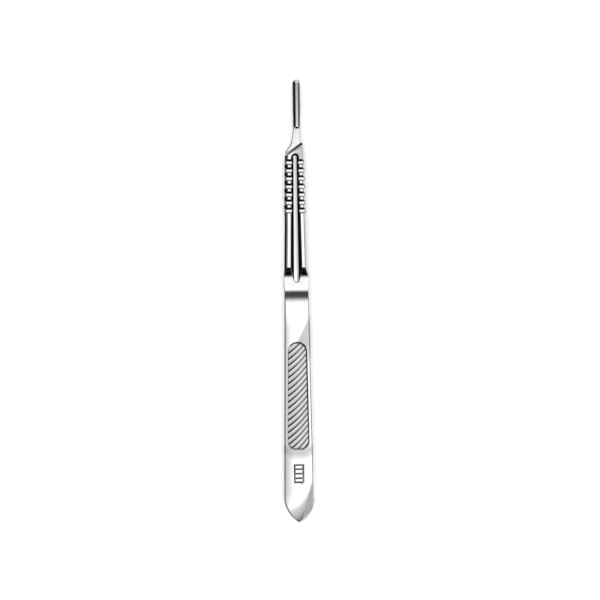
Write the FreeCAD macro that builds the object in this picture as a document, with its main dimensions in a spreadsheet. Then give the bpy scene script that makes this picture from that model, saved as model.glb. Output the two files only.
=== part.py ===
"""Surgical scalpel handle: one bar of stainless steel, forged, milled and polished.

The forging is alike on both faces, so its upper half is modelled above the parting plane
and mirrored. The blade fitting at the front is then cut and raised on one face only.

In the body's own axes, X runs across the handle, Y along it from the rear point (Y = 0)
to the tip of the blade lug, and Z is the thickness, with the parting plane at Z = 0.
The finished handle lies on its back face, with its origin under the middle of its box.
"""
import FreeCAD, Part
import math
import os

import Sketcher
from FreeCAD import Vector

NODE = "scalpel_handle"

# Driving dimensions, in millimetres and degrees.
SIZES = {
    # Lengths along the handle, from the tip of the lug to the rear point
    "lug_length": (13.5, "blade lug, tip to the corners of its rear end"),
    "neck_length": (5.1, "bare neck, from the lug to the right corner of the bar"),
    "bar_length": (34.3, "grip bar, from its right corner to the top of its rear slope"),
    "slope_length": (2.6, "hollow slope at the rear of the bar"),
    "run_down_length": (3.8, "gentle fall from the slope to the waist, the thinnest place"),
    "waist_length": (5.1, "rise from the waist to the plate"),
    "plate_length": (53.0, "flat plate behind the waist, up to the pointed end"),
    "point_length": (7.6, "pointed rear end"),
    # Widths of the plan outline
    "bar_front_width": (5.5, "grip bar at its front corners"),
    "bar_rear_width": (6.72, "grip bar at the top of its slope"),
    "swell_width": (7.17, "swell in front of the waist"),
    "waist_width": (6.98, "waist"),
    "plate_front_width": (7.32, "plate where it leaves the waist"),
    "plate_rear_width": (8.75, "plate where the pointed end begins, the widest place"),
    "swell_setback": (1.1, "swell in front of the waist"),
    "swell_radius": (6.0, "bulging side of the swell, in plan"),
    "waist_radius": (10.0, "hollow side of the waist, in plan"),
    "point_tip_radius": (0.75, "rounding of the rear point"),
    # Thicknesses
    "bar_thickness": (3.9, "grip bar over both faces"),
    "slope_foot_thickness": (2.56, "foot of the slope"),
    "slope_radius": (14.0, "hollow face of the slope, in side view"),
    "waist_thickness": (1.78, "waist"),
    "waist_rise_radius": (43.0, "bulging face between the waist and the plate"),
    "plate_thickness": (2.4, "plate over both faces"),
    "bar_bevel_width": (0.8, "bevel along the bar, in plan"),
    "bar_bevel_height": (0.7, "bevel along the bar, in height"),
    "plate_edge_radius": (0.65, "rounded edge round the plate"),
    # Channel along the bar
    "channel_setback": (2.25, "front end of the channel behind the bar's right corner"),
    "channel_front_width": (2.0, "channel at its front end"),
    "channel_rear_width": (3.28, "channel carried on as far as the waist"),
    "channel_depth": (0.88, "channel below the lands, at its middle"),
    "channel_front_wall_run": (0.46, "slant of a channel wall at the front end, in plan"),
    "channel_rear_wall_run": (0.8, "slant of a channel wall at the waist, in plan"),
    "channel_floor_radius": (3.8, "hollow floor of the channel"),
    # Grip notches across the lands of the bar
    "notch_count": (7, "grip notches"),
    "notch_pitch": (2.27, "from notch to notch"),
    "notch_setback": (4.7, "first notch behind the bar's right corner"),
    "notch_radius": (0.9, "radius of the round-bottomed notch"),
    "notch_depth": (0.35, "notch below the lands"),
    # Ribbed thumb pad in the plate
    "pad_setback": (20.8, "rear end of the pad in front of the rear point"),
    "pad_length": (30.2, "ribbed pad"),
    "pad_front_width": (5.5, "pad at its front end"),
    "pad_rear_width": (6.2, "pad at its rear end"),
    "pad_corner_radius": (2.3, "rear corners of the pad"),
    "pad_depth": (0.34, "valleys between the ribs below the face of the plate"),
    "rib_setback": (0.15, "first rib's crossing of the axis behind the pad's front end"),
    "rib_pitch": (1.7, "from rib to rib along the handle"),
    "rib_width": (1.04, "foot of a rib"),
    "rib_top_width": (0.46, "flat top of a rib"),
    "rib_height": (0.2, "top of a rib above the valleys"),
    "rib_bend_radius": (24.0, "a rib's bend in plan"),
    "rib_angle": (43.7, "a rib's slant to the cross direction, at the axis"),
    # Blade fitting
    "lug_width": (2.1, "lug and the neck under it"),
    "lug_offset": (0.58, "lug beside the axis of the handle"),
    "lug_edge_radius": (0.7, "rounded top edges of the lug"),
    "lug_rear_bulge_radius": (1.7, "rounded rear end of the lug"),
    "rim_height": (0.78, "rim of the lug above the blade groove"),
    "blade_groove_height": (0.45, "blade groove, for a 0.4 mm blade"),
    "blade_groove_depth": (0.34, "blade groove in each side of the lug"),
    "blade_groove_length": (10.2, "blade groove, from the tip of the lug"),
    "neck_face_height": (0.25, "seat of the blade above the parting plane"),
    "neck_back_height": (1.1, "back of the neck below the parting plane"),
    "neck_back_ramp": (3.2, "ramp from the neck's back to the bar's back"),
    "neck_flare_width": (0.48, "left side of the neck, flare ahead of the shoulder"),
    "neck_flare_lead": (0.6, "left root of the neck in front of the bar's right corner"),
    "shoulder_angle": (34.2, "slanted shoulder that the blade's heel meets"),
    "shoulder_wall_run": (0.72, "slant of the shoulder's wall, in plan"),
    "shoulder_left_setback": (1.9, "left corner of the bar behind the right one"),
    "shoulder_lead": (0.57, "right end of the shoulder's edge in front of the bar's corner"),
    "neck_root_radius": (1.0, "hollow corner from the neck to the bar"),
    "bar_corner_radius": (0.9, "rounded front corners of the bar"),
}

doc = FreeCAD.newDocument("ScalpelHandle")
sheet = doc.addObject("Spreadsheet::Sheet", "Sizes")
for row, (alias, (value, meaning)) in enumerate(SIZES.items(), start=1):
    sheet.set(f"A{row}", meaning)
    sheet.set(f"B{row}", str(value))
    sheet.setAlias(f"B{row}", alias)
doc.recompute()


def size(alias):
    """The name of a cell, as an expression in another object."""
    return f"Sizes.{alias}"


# Stations along the handle, each measured from the rear point
POINT_START = size("point_length")
PLATE_FRONT = f"({POINT_START} + {size('plate_length')})"
WAIST = f"({PLATE_FRONT} + {size('waist_length')})"
SWELL = f"({WAIST} + {size('swell_setback')})"
SLOPE_FOOT = f"({WAIST} + {size('run_down_length')})"
BAR_REAR = f"({SLOPE_FOOT} + {size('slope_length')})"
BAR_FRONT = f"({BAR_REAR} + {size('bar_length')})"
LUG_REAR = f"({BAR_FRONT} + {size('neck_length')})"
OVERALL = f"({LUG_REAR} + {size('lug_length')})"

# Levels above the parting plane
BAR_TOP = f"{size('bar_thickness')} / 2"
SLOPE_FOOT_TOP = f"{size('slope_foot_thickness')} / 2"
WAIST_TOP = f"{size('waist_thickness')} / 2"
PLATE_TOP = f"{size('plate_thickness')} / 2"
CLEAR = "1"  # how far a cutting profile stands clear of the steel


def number(expression):
    """What an expression of cells comes to, in millimetres or degrees."""
    result = sheet.evalExpression(expression.replace("Sizes.", ""))
    return float(getattr(result, "Value", result))


def origin_plane(body, role):
    """One of the three planes through a body's own origin."""
    return next(item for item in body.Origin.OriginFeatures if item.Role == role)


def new_sketch(body, name, plane, offset=None):
    """A sketch on one of the body's own origin planes, or at a distance from it."""
    sketch = body.newObject("Sketcher::SketchObject", name)
    sketch.AttachmentSupport = [(origin_plane(body, plane), "")]
    sketch.MapMode = "FlatFace"
    if offset:
        sketch.setExpression("AttachmentOffset.Base.z", offset)
    return sketch


def bind(sketch, kind, places, expression):
    """One dimension of a sketch, tied to an expression of cells."""
    index = sketch.addConstraint(Sketcher.Constraint(kind, *places, number(expression)))
    sketch.setExpression(f"Constraints[{index}]", expression)


def arc_between(begin, end, radius, side):
    """The shorter arc from begin to end, its centre left (1) or right (-1) of the way."""
    chord = end - begin
    half = chord.Length / 2
    left = Vector(-chord.y, chord.x, 0).normalize()
    rise = math.sqrt(max(radius**2 - half**2, 0))
    centre = (begin + end) / 2 + left * (side * rise)
    first, last = (begin, end) if side > 0 else (end, begin)
    start = math.atan2(first.y - centre.y, first.x - centre.x)
    stop = math.atan2(last.y - centre.y, last.x - centre.x)
    if stop < start:
        stop += 2 * math.pi
    return Part.ArcOfCircle(Part.Circle(centre, Vector(0, 0, 1), radius), start, stop)


def draw_loop(sketch, corners, arcs=None):
    """A closed outline whose corners, and the radii of its arcs, are tied to cells.

    corners is a list of pairs of expressions. arcs gives, for the side that leaves a
    corner, its radius and on which side of the way its centre lies; other sides are straight.
    """
    arcs = arcs or {}
    spots = [Vector(number(across), number(along), 0) for across, along in corners]
    starts = []
    ends = []
    for index, begin in enumerate(spots):
        end = spots[(index + 1) % len(spots)]
        if index in arcs:
            radius, side = arcs[index]
            edge = sketch.addGeometry(arc_between(begin, end, number(radius), side), False)
            bind(sketch, "Radius", (edge,), radius)
        else:
            side = 1
            edge = sketch.addGeometry(Part.LineSegment(begin, end), False)
        starts.append((edge, 1 if side > 0 else 2))
        ends.append((edge, 2 if side > 0 else 1))
    for index, (across, along) in enumerate(corners):
        sketch.addConstraint(Sketcher.Constraint("Coincident", *ends[index - 1], *starts[index]))
        bind(sketch, "DistanceX", (-1, 1, *starts[index]), across)
        bind(sketch, "DistanceY", (-1, 1, *starts[index]), along)


def settle(body, feature, cuts):
    """Recompute, and stop if the feature failed or did not change the solid as it should."""
    doc.recompute()
    if feature.Shape.isNull() or not feature.Shape.isValid():
        raise RuntimeError(f"{feature.Label} is not a valid solid")
    base = feature.BaseFeature
    before = base.Shape.Volume if base else 0
    after = feature.Shape.Volume
    if (after < before - 1e-6) != cuts:
        raise RuntimeError(f"{feature.Label} changed the volume from {before} to {after}")
    body.Tip = feature
    return feature


def pad(body, name, sketch, length):
    """A pad upward from its sketch."""
    feature = body.newObject("PartDesign::Pad", name)
    feature.Profile = sketch
    feature.setExpression("Length", length)
    return settle(body, feature, cuts=False)


def pocket(body, name, sketch, length=None, both_ways=False, upward=False, taper=None):
    """A pocket: downward from its sketch, or through everything where no length is given."""
    feature = body.newObject("PartDesign::Pocket", name)
    feature.Profile = sketch
    feature.Reversed = upward
    if length:
        feature.setExpression("Length", length)
    else:
        feature.Type = "ThroughAll"
    if both_ways:
        feature.SideType = "Symmetric"
    if taper:
        feature.setExpression("TaperAngle", taper)
    return settle(body, feature, cuts=True)


def edges_where(shape, chosen):
    """The names of a shape's edges for which chosen says yes."""
    return [f"Edge{index}" for index, edge in enumerate(shape.Edges, start=1) if chosen(edge)]


def is_upright(edge, across, along):
    """Whether an edge stands upright at a place in the plan."""
    spots = [vertex.Point for vertex in edge.Vertexes]
    return len(spots) == 2 and all(math.hypot(p.x - across, p.y - along) < 0.01 for p in spots)


def round_corners(body, name, corners, radius):
    """Round the upright edges at these corners of the plan."""
    base = body.Tip
    places = [(number(across), number(along)) for across, along in corners]
    names = edges_where(base.Shape, lambda edge: any(is_upright(edge, *spot) for spot in places))
    feature = body.newObject("PartDesign::Fillet", name)
    feature.Base = (base, names)
    feature.setExpression("Radius", radius)
    return settle_rounding(body, feature)


def settle_rounding(body, feature):
    """Recompute a feature that may add steel in one corner and take it off in another."""
    doc.recompute()
    if feature.Shape.isNull() or not feature.Shape.isValid():
        raise RuntimeError(f"{feature.Label} is not a valid solid")
    body.Tip = feature
    return feature


# Plan of the handle, read clockwise from the tip of the lug
TIP_RADIUS = size("point_tip_radius")
HALF_LUG = f"{size('lug_width')} / 2"
LUG_RIGHT = f"({size('lug_offset')} + {HALF_LUG})"
LUG_LEFT = f"({size('lug_offset')} - {HALF_LUG})"
NOSE_CENTRE = f"({OVERALL} - {HALF_LUG})"
HALF_FRONT = f"{size('bar_front_width')} / 2"
HALF_BAR_REAR = f"{size('bar_rear_width')} / 2"
HALF_SWELL = f"{size('swell_width')} / 2"
HALF_WAIST = f"{size('waist_width')} / 2"
HALF_PLATE_FRONT = f"{size('plate_front_width')} / 2"
HALF_PLATE_REAR = f"{size('plate_rear_width')} / 2"

# The pointed end is two large arcs that a small one joins. This radius makes them touch it.
POINT_RADIUS = (f"(((({HALF_PLATE_REAR})^2 - {TIP_RADIUS}^2 + ({POINT_START} - {TIP_RADIUS})^2))"
                f" / (2 * ({HALF_PLATE_REAR} - {TIP_RADIUS})))")
TIP_SHARE = f"({TIP_RADIUS} / ({POINT_RADIUS} - {TIP_RADIUS}))"
TIP_ACROSS = f"(({POINT_RADIUS} - {HALF_PLATE_REAR}) * {TIP_SHARE})"
TIP_ALONG = f"({TIP_RADIUS} - ({POINT_START} - {TIP_RADIUS}) * {TIP_SHARE})"

NECK_ROOT_RIGHT = (LUG_RIGHT, f"{BAR_FRONT} + {size('shoulder_left_setback')} / 2")
NECK_ROOT_LEFT = (f"{LUG_LEFT} - {size('neck_flare_width')}",
                  f"{BAR_FRONT} + {size('neck_flare_lead')}")
BAR_CORNER_RIGHT = (HALF_FRONT, BAR_FRONT)
BAR_CORNER_LEFT = (f"-{HALF_FRONT}", f"{BAR_FRONT} - {size('shoulder_left_setback')}")
PLAN = [
    (size("lug_offset"), OVERALL),
    (LUG_RIGHT, NOSE_CENTRE),
    NECK_ROOT_RIGHT,
    BAR_CORNER_RIGHT,
    (HALF_BAR_REAR, BAR_REAR),
    (HALF_SWELL, SWELL),
    (HALF_WAIST, WAIST),
    (HALF_PLATE_FRONT, PLATE_FRONT),
    (HALF_PLATE_REAR, POINT_START),
    (TIP_ACROSS, TIP_ALONG),
    (f"-{TIP_ACROSS}", TIP_ALONG),
    (f"-{HALF_PLATE_REAR}", POINT_START),
    (f"-{HALF_PLATE_FRONT}", PLATE_FRONT),
    (f"-{HALF_WAIST}", WAIST),
    (f"-{HALF_SWELL}", SWELL),
    (f"-{HALF_BAR_REAR}", BAR_REAR),
    BAR_CORNER_LEFT,
    NECK_ROOT_LEFT,
    (LUG_LEFT, LUG_REAR),
    (LUG_LEFT, NOSE_CENTRE),
]
PLAN_ARCS = {
    0: (HALF_LUG, -1),
    8: (POINT_RADIUS, -1),
    9: (TIP_RADIUS, -1),
    10: (POINT_RADIUS, -1),
    19: (HALF_LUG, -1),
}

body = doc.addObject("PartDesign::Body", NODE)
body.Label = NODE

# The upper half of the forging
plan = new_sketch(body, "Plan", "XY_Plane")
draw_loop(plan, PLAN, PLAN_ARCS)
pad(body, "Blank", plan, BAR_TOP)
round_corners(body, "NeckRoots", [NECK_ROOT_RIGHT, NECK_ROOT_LEFT], size("neck_root_radius"))
round_corners(body, "BarCorners", [BAR_CORNER_RIGHT], size("bar_corner_radius"))
for name, half, station, radius in (
        ("Swell", HALF_SWELL, SWELL, size("swell_radius")),
        ("WaistSides", HALF_WAIST, WAIST, size("waist_radius"))):
    round_corners(body, name, [(half, station), (f"-{half}", station)], radius)

# The thinner plate behind the bar, with a rounded edge all round its face
plate_side = new_sketch(body, "PlateSide", "YZ_Plane")
draw_loop(plate_side, [
    (WAIST, PLATE_TOP),
    (f"-{CLEAR}", PLATE_TOP),
    (f"-{CLEAR}", f"{BAR_TOP} + {CLEAR}"),
    (WAIST, f"{BAR_TOP} + {CLEAR}"),
])
plate = pocket(body, "PlateFace", plate_side, both_ways=True)


def borders_the_plate(edge):
    """Whether an edge lies round the face of the plate, apart from its front end."""
    box = edge.BoundBox
    is_level = abs(box.ZMin - number(PLATE_TOP)) + abs(box.ZMax - number(PLATE_TOP)) < 0.001
    return is_level and box.YMin < number(WAIST) - 0.1


rounding = body.newObject("PartDesign::Fillet", "PlateEdge")
rounding.Base = (plate, edges_where(plate.Shape, borders_the_plate))
rounding.setExpression("Radius", size("plate_edge_radius"))
settle(body, rounding, cuts=True)

# Bevels along both sides of the bar, down to the swell
bar_edges = [
    (BAR_CORNER_RIGHT, (HALF_BAR_REAR, BAR_REAR)),
    ((HALF_BAR_REAR, BAR_REAR), (HALF_SWELL, SWELL)),
    (BAR_CORNER_LEFT, (f"-{HALF_BAR_REAR}", BAR_REAR)),
    ((f"-{HALF_BAR_REAR}", BAR_REAR), (f"-{HALF_SWELL}", SWELL)),
]


def runs_along(edge, line, height):
    """Whether an edge lies on a line of the plan, at a height."""
    (x1, y1), (x2, y2) = [(number(across), number(along)) for across, along in line]
    middle = edge.valueAt((edge.FirstParameter + edge.LastParameter) / 2)
    if abs(middle.z - number(height)) > 0.001 or not min(y1, y2) < middle.y < max(y1, y2):
        return False
    share = (middle.y - y1) / (y2 - y1)
    return abs(middle.x - (x1 + share * (x2 - x1))) < 0.01


stepped = body.Tip
bevel = body.newObject("PartDesign::Chamfer", "BarBevels")
bevel.Base = (stepped, edges_where(stepped.Shape, lambda edge: any(
    runs_along(edge, line, BAR_TOP) for line in bar_edges)))
bevel.ChamferType = "Two distances"
bevel.setExpression("Size", size("bar_bevel_width"))
bevel.setExpression("Size2", size("bar_bevel_height"))
settle(body, bevel, cuts=True)

# Slope from the bar down to the waist, and the rise from there to the plate
waist_side = new_sketch(body, "WaistSide", "YZ_Plane")
draw_loop(waist_side, [
    (BAR_REAR, BAR_TOP),
    (SLOPE_FOOT, SLOPE_FOOT_TOP),
    (WAIST, WAIST_TOP),
    (PLATE_FRONT, PLATE_TOP),
    (PLATE_FRONT, f"{BAR_TOP} + {CLEAR}"),
    (BAR_REAR, f"{BAR_TOP} + {CLEAR}"),
], {0: (size("slope_radius"), -1), 2: (size("waist_rise_radius"), 1)})
pocket(body, "Waist", waist_side, both_ways=True)

# Channel along the bar: a hollow-floored trough that widens to the rear and runs out on
# the waist, with a round front end turned about an upright axis
CHANNEL_FRONT = (f"({BAR_FRONT} - {size('channel_setback')}"
                 f" - {size('channel_front_width')} / 2)")
CHANNEL_REAR = WAIST
CHANNEL_FLOOR = f"({BAR_TOP} - {size('channel_depth')})"
HALF_CHANNEL_FRONT = f"{size('channel_front_width')} / 2"
HALF_CHANNEL_REAR = f"{size('channel_rear_width')} / 2"
FLOOR_RADIUS = size("channel_floor_radius")


def floor_corner(half_width, wall_run):
    """Half the width of the channel's floor, and the height of the floor's corner."""
    half_floor = f"({half_width} - {wall_run})"
    height = f"({CHANNEL_FLOOR} + {FLOOR_RADIUS} - sqrt({FLOOR_RADIUS}^2 - {half_floor}^2))"
    return half_floor, height


def channel_section(name, station, half_width, wall_run):
    """The channel's cross section at a station along the handle."""
    half_floor, height = floor_corner(half_width, wall_run)
    sketch = new_sketch(body, name, "XZ_Plane", f"-{station}")
    draw_loop(sketch, [
        (f"-{half_width}", f"{BAR_TOP} + {CLEAR}"),
        (f"-{half_width}", BAR_TOP),
        (f"-{half_floor}", height),
        (half_floor, height),
        (half_width, BAR_TOP),
        (half_width, f"{BAR_TOP} + {CLEAR}"),
    ], {2: (FLOOR_RADIUS, 1)})
    return sketch


FRONT_WALL_RUN = size("channel_front_wall_run")
front_section = channel_section("ChannelFront", CHANNEL_FRONT, HALF_CHANNEL_FRONT, FRONT_WALL_RUN)
rear_section = channel_section("ChannelRear", CHANNEL_REAR, HALF_CHANNEL_REAR,
                               size("channel_rear_wall_run"))
channel = body.newObject("PartDesign::SubtractiveLoft", "Channel")
channel.Profile = front_section
channel.Sections = [rear_section]
settle(body, channel, cuts=True)

half_floor, height = floor_corner(HALF_CHANNEL_FRONT, FRONT_WALL_RUN)
arch = new_sketch(body, "ChannelEnd", "XZ_Plane", f"-{CHANNEL_FRONT}")
draw_loop(arch, [
    ("0", CHANNEL_FLOOR),
    (half_floor, height),
    (HALF_CHANNEL_FRONT, BAR_TOP),
    (HALF_CHANNEL_FRONT, f"{BAR_TOP} + {CLEAR}"),
    ("0", f"{BAR_TOP} + {CLEAR}"),
], {0: (FLOOR_RADIUS, 1)})
channel_end = body.newObject("PartDesign::Groove", "ChannelEndCut")
channel_end.Profile = arch
channel_end.ReferenceAxis = (arch, ["V_Axis"])
channel_end.Angle = 360
settle(body, channel_end, cuts=True)

# Grip notches across both lands and their bevels
notch_side = new_sketch(body, "NotchSide", "YZ_Plane")
NOTCH_STATION = f"({BAR_FRONT} - {size('notch_setback')})"
NOTCH_HEIGHT = f"({BAR_TOP} - {size('notch_depth')} + {size('notch_radius')})"
circle = Part.Circle(Vector(number(NOTCH_STATION), number(NOTCH_HEIGHT), 0),
                     Vector(0, 0, 1), number(size("notch_radius")))
ring = notch_side.addGeometry(circle, False)
bind(notch_side, "DistanceX", (-1, 1, ring, 3), NOTCH_STATION)
bind(notch_side, "DistanceY", (-1, 1, ring, 3), NOTCH_HEIGHT)
bind(notch_side, "Radius", (ring,), size("notch_radius"))
notch = pocket(body, "Notch", notch_side, both_ways=True)
notches = body.newObject("PartDesign::LinearPattern", "Notches")
notches.Originals = [notch]
notches.Direction = (notch_side, ["H_Axis"])
notches.Reversed = True
notches.Mode = "Spacing"
notches.setExpression("Offset", size("notch_pitch"))
notches.setExpression("Occurrences", size("notch_count"))
settle(body, notches, cuts=True)

# Ribbed thumb pad. A cutter of the pad's outline has the ribs taken out of its underside,
# so what it cuts from the plate is a pocket with the ribs standing in it.
PAD_REAR = size("pad_setback")
PAD_FRONT = f"({PAD_REAR} + {size('pad_length')})"
PAD_FLOOR = f"({PLATE_TOP} - {size('pad_depth')})"
HALF_PAD_FRONT = f"{size('pad_front_width')} / 2"
HALF_PAD_REAR = f"{size('pad_rear_width')} / 2"
CORNER = size("pad_corner_radius")

cutter = doc.addObject("PartDesign::Body", "pad_cutter")
cutter.Label = "pad_cutter"
pad_plan = new_sketch(cutter, "PadPlan", "XY_Plane", PAD_FLOOR)
draw_loop(pad_plan, [
    ("0", PAD_FRONT),
    (HALF_PAD_FRONT, f"{PAD_FRONT} - {HALF_PAD_FRONT}"),
    (HALF_PAD_REAR, f"{PAD_REAR} + {CORNER}"),
    (f"{HALF_PAD_REAR} - {CORNER}", PAD_REAR),
    (f"{CORNER} - {HALF_PAD_REAR}", PAD_REAR),
    (f"-{HALF_PAD_REAR}", f"{PAD_REAR} + {CORNER}"),
    (f"-{HALF_PAD_FRONT}", f"{PAD_FRONT} - {HALF_PAD_FRONT}"),
], {0: (HALF_PAD_FRONT, -1), 2: (CORNER, -1), 4: (CORNER, -1), 6: (HALF_PAD_FRONT, -1)})
pad(cutter, "PadBlock", pad_plan, f"{size('pad_depth')} + {CLEAR}")

# A rib is a flat-topped profile turned about an upright axis to the left of the handle
BEND = size("rib_bend_radius")
SLANT = size("rib_angle")
BEND_ACROSS = f"(-{BEND} * sin({SLANT}))"
BEND_ALONG = f"({PAD_FRONT} - {size('rib_setback')} + {BEND} * cos({SLANT}))"
RIB_LINE = f"({BEND_ALONG} - {BEND})"
HALF_RIB = f"{size('rib_width')} / 2"
HALF_RIB_TOP = f"{size('rib_top_width')} / 2"
RIB_TOP = f"({PAD_FLOOR} + {size('rib_height')})"
RIB_REACH = f"({BEND} * cos({SLANT}) - sqrt({BEND}^2 - ({BEND} * sin({SLANT}) + {HALF_PAD_REAR})^2))"
RIB_COUNT = f"ceil(({size('pad_length')} - {size('rib_setback')} + {RIB_REACH}) / {size('rib_pitch')})"
rib_section = new_sketch(cutter, "RibSection", "YZ_Plane", BEND_ACROSS)
draw_loop(rib_section, [
    (f"{RIB_LINE} + {HALF_RIB}", PAD_FLOOR),
    (f"{RIB_LINE} + {HALF_RIB_TOP}", RIB_TOP),
    (f"{RIB_LINE} - {HALF_RIB_TOP}", RIB_TOP),
    (f"{RIB_LINE} - {HALF_RIB}", PAD_FLOOR),
    (f"{RIB_LINE} - {HALF_RIB}", f"{PAD_FLOOR} - {CLEAR}"),
    (f"{RIB_LINE} + {HALF_RIB}", f"{PAD_FLOOR} - {CLEAR}"),
])
turning_axis = rib_section.addGeometry(
    Part.LineSegment(Vector(number(BEND_ALONG), 0, 0), Vector(number(BEND_ALONG), 1, 0)), True)
rib_section.addConstraint(Sketcher.Constraint("Vertical", turning_axis))
rib_section.addConstraint(Sketcher.Constraint("PointOnObject", turning_axis, 1, -1))
bind(rib_section, "DistanceX", (-1, 1, turning_axis, 1), BEND_ALONG)
bind(rib_section, "DistanceY", (turning_axis, 1, turning_axis, 2), CLEAR)
rib = cutter.newObject("PartDesign::Groove", "Rib")
rib.Profile = rib_section
rib.ReferenceAxis = (rib_section, ["Axis0"])
rib.Angle = 90
settle(cutter, rib, cuts=True)
ribs = cutter.newObject("PartDesign::LinearPattern", "Ribs")
ribs.Originals = [rib]
ribs.Direction = (rib_section, ["H_Axis"])
ribs.Reversed = True
ribs.Mode = "Spacing"
ribs.setExpression("Offset", size("rib_pitch"))
ribs.setExpression("Occurrences", RIB_COUNT)
settle(cutter, ribs, cuts=True)

thumb_pad = body.newObject("PartDesign::Boolean", "ThumbPad")
thumb_pad.Type = "Cut"
thumb_pad.addObject(cutter)
settle(body, thumb_pad, cuts=True)

# The lower half
lower_half = body.newObject("PartDesign::Mirrored", "LowerHalf")
lower_half.TransformMode = "Whole shape"
lower_half.MirrorPlane = (origin_plane(body, "XY_Plane"), [""])
settle(body, lower_half, cuts=False)

# Seat of the blade, cut down to the slanted shoulder that the blade's heel meets
NECK_FACE = size("neck_face_height")
SHOULDER_END = f"({BAR_FRONT} + {size('shoulder_lead')})"
SHOULDER_RISE = f"tan({size('shoulder_angle')})"
WIDE = size("bar_front_width")
seat_plan = new_sketch(body, "SeatPlan", "XY_Plane", BAR_TOP)
draw_loop(seat_plan, [
    (WIDE, f"{SHOULDER_END} + ({WIDE} / 2) * {SHOULDER_RISE}"),
    (WIDE, f"{OVERALL} + {CLEAR}"),
    (f"-{WIDE}", f"{OVERALL} + {CLEAR}"),
    (f"-{WIDE}", f"{SHOULDER_END} - ({WIDE} * 3 / 2) * {SHOULDER_RISE}"),
])
seat_depth = f"({BAR_TOP} - {NECK_FACE})"
pocket(body, "BladeSeat", seat_plan, seat_depth,
       taper=f"-atan({size('shoulder_wall_run')} / {seat_depth})")

# Back of the neck, ramped down from the back of the bar
neck_side = new_sketch(body, "NeckSide", "YZ_Plane")
RAMP_START = f"({BAR_FRONT} - {size('shoulder_left_setback')})"
RAMP_END = f"({RAMP_START} + {size('neck_back_ramp')})"
draw_loop(neck_side, [
    (RAMP_START, f"-{BAR_TOP}"),
    (RAMP_END, f"-{size('neck_back_height')}"),
    (f"{OVERALL} + {CLEAR}", f"-{size('neck_back_height')}"),
    (f"{OVERALL} + {CLEAR}", f"-{BAR_TOP} - {CLEAR}"),
    (RAMP_START, f"-{BAR_TOP} - {CLEAR}"),
])
pocket(body, "NeckBack", neck_side, both_ways=True)

# Blade lug, raised on the seat, with its top edges rounded to a crown
LUG_TOP = f"({NECK_FACE} + {size('blade_groove_height')} + {size('rim_height')})"
lug_plan = new_sketch(body, "LugPlan", "XY_Plane", NECK_FACE)
draw_loop(lug_plan, [
    (size("lug_offset"), OVERALL),
    (LUG_RIGHT, NOSE_CENTRE),
    (LUG_RIGHT, LUG_REAR),
    (LUG_LEFT, LUG_REAR),
    (LUG_LEFT, NOSE_CENTRE),
], {0: (HALF_LUG, -1), 2: (size("lug_rear_bulge_radius"), -1), 4: (HALF_LUG, -1)})
lug = pad(body, "Lug", lug_plan, f"{size('blade_groove_height')} + {size('rim_height')}")


def tops_the_lug(edge):
    """Whether an edge lies round the top of the lug."""
    box = edge.BoundBox
    top = number(LUG_TOP)
    is_level = abs(box.ZMin - top) + abs(box.ZMax - top) < 0.001
    return is_level and box.YMin > number(BAR_FRONT)


crown = body.newObject("PartDesign::Fillet", "LugCrown")
crown.Base = (lug, edges_where(lug.Shape, tops_the_lug))
crown.setExpression("Radius", size("lug_edge_radius"))
settle(body, crown, cuts=True)

# Groove round the lug, under its rim, in which the edges of the blade's slot slide
GROOVE = size("blade_groove_depth")
GROOVE_END = f"({OVERALL} - {size('blade_groove_length')})"
WEB_END_RADIUS = f"({HALF_LUG} - {GROOVE})"
groove_plan = new_sketch(body, "GroovePlan", "XY_Plane", NECK_FACE)
draw_loop(groove_plan, [
    (f"{LUG_RIGHT} - {GROOVE}", GROOVE_END),
    (f"{LUG_RIGHT} - {GROOVE}", NOSE_CENTRE),
    (size("lug_offset"), f"{OVERALL} - {GROOVE}"),
    (f"{LUG_LEFT} + {GROOVE}", NOSE_CENTRE),
    (f"{LUG_LEFT} + {GROOVE}", GROOVE_END),
    (f"{LUG_LEFT} - {CLEAR}", GROOVE_END),
    (f"{LUG_LEFT} - {CLEAR}", f"{OVERALL} + {CLEAR}"),
    (f"{LUG_RIGHT} + {CLEAR}", f"{OVERALL} + {CLEAR}"),
    (f"{LUG_RIGHT} + {CLEAR}", GROOVE_END),
], {1: (WEB_END_RADIUS, 1), 2: (WEB_END_RADIUS, 1)})
pocket(body, "BladeGroove", groove_plan, size("blade_groove_height"), upward=True)

# The handle lies on its back face, with its origin under the middle of its box
body.setExpression("Placement.Base.y", f"-{OVERALL} / 2")
body.setExpression("Placement.Base.z", BAR_TOP)

doc.recompute()
for item in doc.Objects:
    if {"Invalid", "Error"} & set(item.State):
        raise RuntimeError(f"{item.Label} is in state {item.State}")
shape = body.Shape
if shape.isNull() or not shape.isValid() or len(shape.Solids) != 1:
    raise RuntimeError(f"{body.Label} is not one valid solid")
os.makedirs("parts", exist_ok=True)
shape.exportStep(f"parts/{body.Label}.step")
print(f"{body.Label}: {shape.Volume:.1f} cubic mm, {len(shape.Faces)} faces")
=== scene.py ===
"""Looks of a surgical scalpel handle in polished stainless steel, lying on a pale floor.

The steel is one closed surface: rows run across the handle, one behind the other from the
rear point to the tip of the blade lug, and each row goes round the whole section. The blade
lug is a second closed shell that stands on the neck. Sizes are in millimetres. A station is
a distance from the rear point, and heights are measured from the middle of the thickness.
"""
import math

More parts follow.
